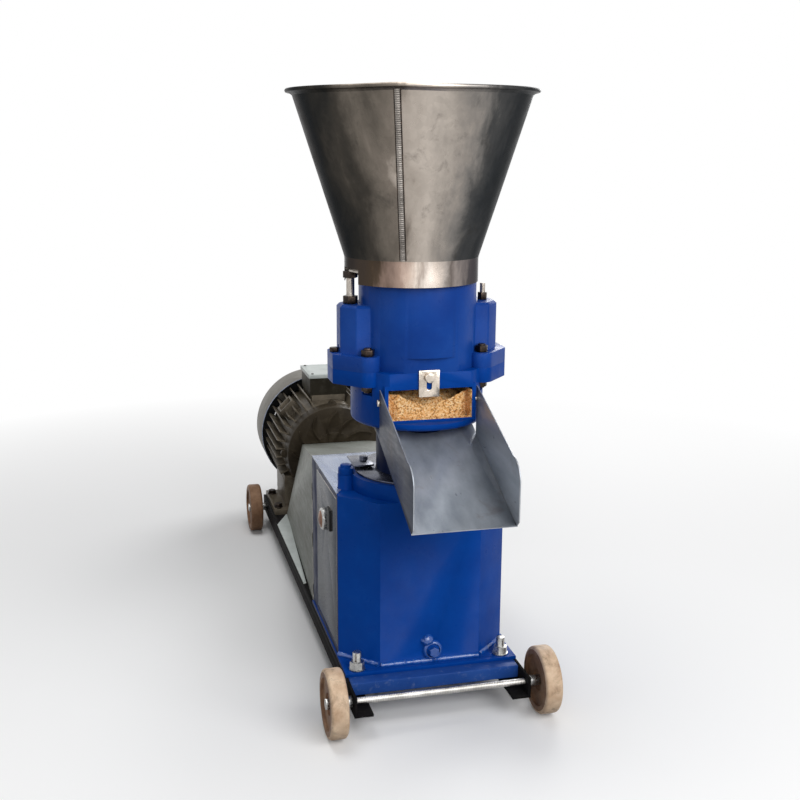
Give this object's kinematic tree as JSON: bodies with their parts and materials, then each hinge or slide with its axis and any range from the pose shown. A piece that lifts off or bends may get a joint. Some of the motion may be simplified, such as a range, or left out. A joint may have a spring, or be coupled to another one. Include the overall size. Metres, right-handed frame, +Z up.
{
  "type": "flat die feed pellet mill",
  "caption": "Flat die feed pellet mill with hopper, roller chamber, chute, bevel gearbox, guarded coupling and electric motor on a wheeled rail chassis.",
  "frame": {"origin": "on the floor under the middle of the bounding box", "axes": "+Z up, +Y from the chute to the motor's fan cowl, +X to the right seen from the chute"},
  "size_m": [0.4527, 1.507, 1.131],
  "materials": {
    "blue": "glossy enamel",
    "navy": "glossy enamel",
    "black_paint": "worn satin paint",
    "hood_grey": "satin paint",
    "motor_grey": "satin paint",
    "galvanised": "mottled zinc",
    "bare_steel": "machined",
    "bright_steel": "polished",
    "dark_steel": "blackened",
    "cast_iron": "as cast",
    "nylon": "cast nylon",
    "rubber": "matte",
    "fan_plastic": "matte",
    "sight": "ring with an amber pane"
  },
  "bodies": {
    "machine": {"left_rail": "black_paint", "right_rail": "black_paint", "front_beam": "blue", "middle_beam": "black_paint", "rear_beam": "black_paint", "front_axle": "bright_steel", "rear_axle": "bright_steel", "axle_nuts": "bare_steel", "wheel_spacers": "bare_steel", "gearbox_housing": "blue", "side_cover": "bare_steel", "rear_cover": "navy", "sight_glass": "sight", "drain_plug": "blue", "corner_boss_cap": "dark_steel", "base_studs": "dark_steel", "lower_bearing": "bright_steel", "neck_bearings": "bright_steel", "input_bearings": "bright_steel", "shaft_seal": "rubber", "discharge_housing": "blue", "bearing_cover": "bare_steel", "cutter": "bare_steel", "roller_chamber": "blue", "lock_nuts": "dark_steel", "flange_bolts": "dark_steel", "plate_bolt": "bare_steel", "chute": "hood_grey", "chute_bolts": "bright_steel", "hopper": "galvanised", "hopper_seat": "galvanised", "coupling_guard": "hood_grey", "motor_body": "motor_grey", "motor_shields": "motor_grey", "stator": "bare_steel", "motor_bearings": "bright_steel", "fan_cowl": "motor_grey", "terminal_box": "motor_grey"},
    "mill_shaft": {"main_shaft": "bare_steel", "crown_wheel": "bare_steel", "die": "bare_steel", "die_nut": "bare_steel", "flinger": "bare_steel"},
    "drive_shaft": {"input_shaft": "bare_steel", "bevel_pinion": "bare_steel", "gearbox_hub": "cast_iron", "spider": "rubber", "motor_hub": "cast_iron", "rotor": "bare_steel", "fan": "fan_plastic"},
    "roller_carriage": {"roller_axle": "bare_steel"},
    "left_roller_ring": {"left_roller": "bare_steel"},
    "right_roller_ring": {"right_roller": "bare_steel"},
    "left_screw": {"adjusting_bolt": "dark_steel"},
    "right_screw": {"set_screw": "bare_steel"},
    "gate": {"slotted_plate": "bright_steel"},
    "front_left_wheel": {"wheel_front_left": "nylon"},
    "front_right_wheel": {"wheel_front_right": "nylon"},
    "rear_left_wheel": {"wheel_rear_left": "nylon"},
    "rear_right_wheel": {"wheel_rear_right": "nylon"}
  },
  "joints": [
    {"name": "mill_shaft_spin", "type": "hinge", "parent": "machine", "child": "mill_shaft", "pos_m": [0.0121, -0.4295, 0.3], "axis": [0, 0, 1], "continuous": true},
    {"name": "drive_shaft_spin", "type": "hinge", "parent": "machine", "child": "drive_shaft", "pos_m": [0.0121, 0.0705, 0.238], "axis": [0, 1, 0], "continuous": true},
    {"name": "roller_lift", "type": "slide", "parent": "machine", "child": "roller_carriage", "axis": [0, 0, 1], "range_m": [0, 0.005]},
    {"name": "left_roller_spin", "type": "hinge", "parent": "roller_carriage", "child": "left_roller_ring", "pos_m": [-0.0409, -0.4295, 0.6864], "axis": [1, 0, 0], "continuous": true},
    {"name": "right_roller_spin", "type": "hinge", "parent": "roller_carriage", "child": "right_roller_ring", "pos_m": [0.0651, -0.4295, 0.6864], "axis": [1, 0, 0], "continuous": true},
    {"name": "adjusting_bolt_turn", "type": "hinge", "parent": "roller_carriage", "child": "left_screw", "pos_m": [-0.1139, -0.4295, 0.76], "axis": [0, 0, 1], "range_deg": [0, 900.01]},
    {"name": "set_screw_turn", "type": "hinge", "parent": "roller_carriage", "child": "right_screw", "pos_m": [0.1381, -0.4295, 0.76], "axis": [0, 0, 1], "range_deg": [0, 900.01]},
    {"name": "slotted_plate_slide", "type": "slide", "parent": "machine", "child": "gate", "axis": [0, 0, 1], "range_m": [0, 0.018]},
    {"name": "front_left_wheel_spin", "type": "hinge", "parent": "machine", "child": "front_left_wheel", "pos_m": [-0.1861, -0.6195, 0.0625], "axis": [1, 0, 0], "continuous": true},
    {"name": "rear_left_wheel_spin", "type": "hinge", "parent": "machine", "child": "rear_left_wheel", "pos_m": [-0.1861, 0.5155, 0.0625], "axis": [1, 0, 0], "continuous": true},
    {"name": "front_right_wheel_spin", "type": "hinge", "parent": "machine", "child": "front_right_wheel", "pos_m": [0.2103, -0.6195, 0.0625], "axis": [1, 0, 0], "continuous": true},
    {"name": "rear_right_wheel_spin", "type": "hinge", "parent": "machine", "child": "rear_right_wheel", "pos_m": [0.2103, 0.5155, 0.0625], "axis": [1, 0, 0], "continuous": true}
  ],
  "couplings": [
    {"joint": "drive_shaft_spin", "follows": "mill_shaft_spin", "ratio": 3.3333},
    {"joint": "left_roller_spin", "follows": "mill_shaft_spin", "ratio": -1.325},
    {"joint": "right_roller_spin", "follows": "mill_shaft_spin", "ratio": 1.325},
    {"joint": "adjusting_bolt_turn", "follows": "roller_lift", "rad_per_m": 3141.6},
    {"joint": "set_screw_turn", "follows": "roller_lift", "rad_per_m": 3141.6}
  ]
}
